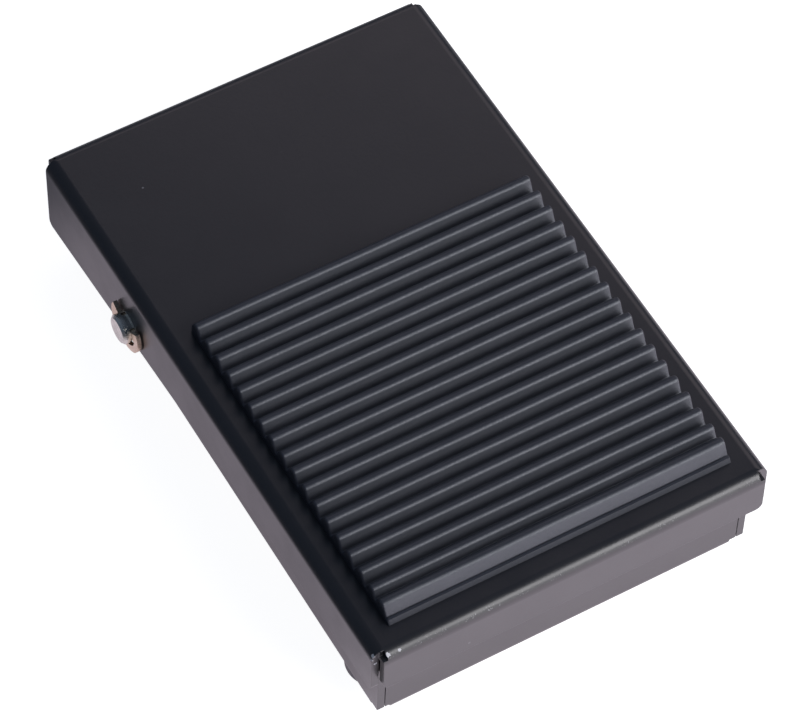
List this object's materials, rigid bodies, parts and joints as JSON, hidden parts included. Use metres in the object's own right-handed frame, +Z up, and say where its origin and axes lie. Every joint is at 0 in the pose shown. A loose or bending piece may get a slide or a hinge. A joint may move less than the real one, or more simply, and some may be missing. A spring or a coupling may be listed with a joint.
{
  "type": "foot pedal switch",
  "caption": "Flat foot switch: a folded steel cover with a ribbed rubber tread rocks on a through pin in a folded steel base and presses a snap switch inside.",
  "frame": {"origin": "on the surface the feet stand on, midway between the ends of the pivot pin and midway between the cover's front and rear edges", "axes": "+Z up, +X to the right along the pivot pin, -Y towards the front edge that the foot presses"},
  "size_m": [0.0718, 0.1051, 0.0259],
  "materials": {
    "painted_steel": "satin powder coat, near black",
    "tread_rubber": "matt moulded rubber, slate grey",
    "black_rubber": "matt",
    "bright_plating": "bright nickel plate",
    "yellow_plating": "yellow passivated zinc",
    "zinc_steel": "bright zinc plate",
    "spring_steel": "drawn",
    "switch_plastic": "moulded, satin",
    "plunger_plastic": "moulded",
    "contact_copper": "rolled copper alloy",
    "contact_silver": "silver",
    "terminal_brass": "stamped"
  },
  "bodies": {
    "base": {"base_pan": "painted_steel", "pivot_pin": "bright_plating", "pin_clip_left": "yellow_plating", "pin_clip_right": "yellow_plating", "cable_grommet": "black_rubber", "return_spring": "spring_steel", "switch_bracket": "zinc_steel", "bracket_rivets": "zinc_steel", "switch_case": "switch_plastic", "switch_lid": "switch_plastic", "open_contact": "contact_silver", "closed_contact": "contact_silver", "common_terminal": "terminal_brass", "open_terminal": "terminal_brass", "closed_terminal": "terminal_brass", "switch_screws": "zinc_steel", "switch_nuts": "zinc_steel", "foot_front_left": "black_rubber", "foot_front_right": "black_rubber", "foot_rear_left": "black_rubber", "foot_rear_right": "black_rubber"},
    "pedal": {"pedal_cover": "painted_steel", "tread_pad": "tread_rubber"},
    "lever": {"switch_lever": "spring_steel"},
    "plunger": {"switch_plunger": "plunger_plastic"},
    "blade": {"contact_blade": "contact_copper", "moving_contact": "contact_silver"}
  },
  "joints": [
    {"name": "pedal_hinge", "type": "hinge", "parent": "base", "child": "pedal", "pos_m": [0, 0.0237, 0.0122], "axis": [1, 0, 0], "range_deg": [0, 4.1], "stiffness_Nm_per_rad": 5, "springref_deg": -4.01, "deforming": ["return_spring"]},
    {"name": "lever_hinge", "type": "hinge", "parent": "base", "child": "lever", "pos_m": [0, 0.0046, 0.0171], "axis": [1, 0, 0], "range_deg": [0, 9.24]},
    {"name": "plunger_slide", "type": "slide", "parent": "base", "child": "plunger", "axis": [0, 0, -1], "range_m": [0, 0.00073]},
    {"name": "blade_hinge", "type": "hinge", "parent": "base", "child": "blade", "pos_m": [0, 0.0036, 0.0139], "axis": [1, 0, 0], "range_deg": [0, 1.76]}
  ],
  "couplings": [
    {"joint": "lever_hinge", "follows": "pedal_hinge", "ratio": 2.252},
    {"joint": "plunger_slide", "follows": "pedal_hinge", "m_per_rad": 0.01017},
    {"joint": "blade_hinge", "follows": "pedal_hinge", "ratio": 0.4268}
  ]
}
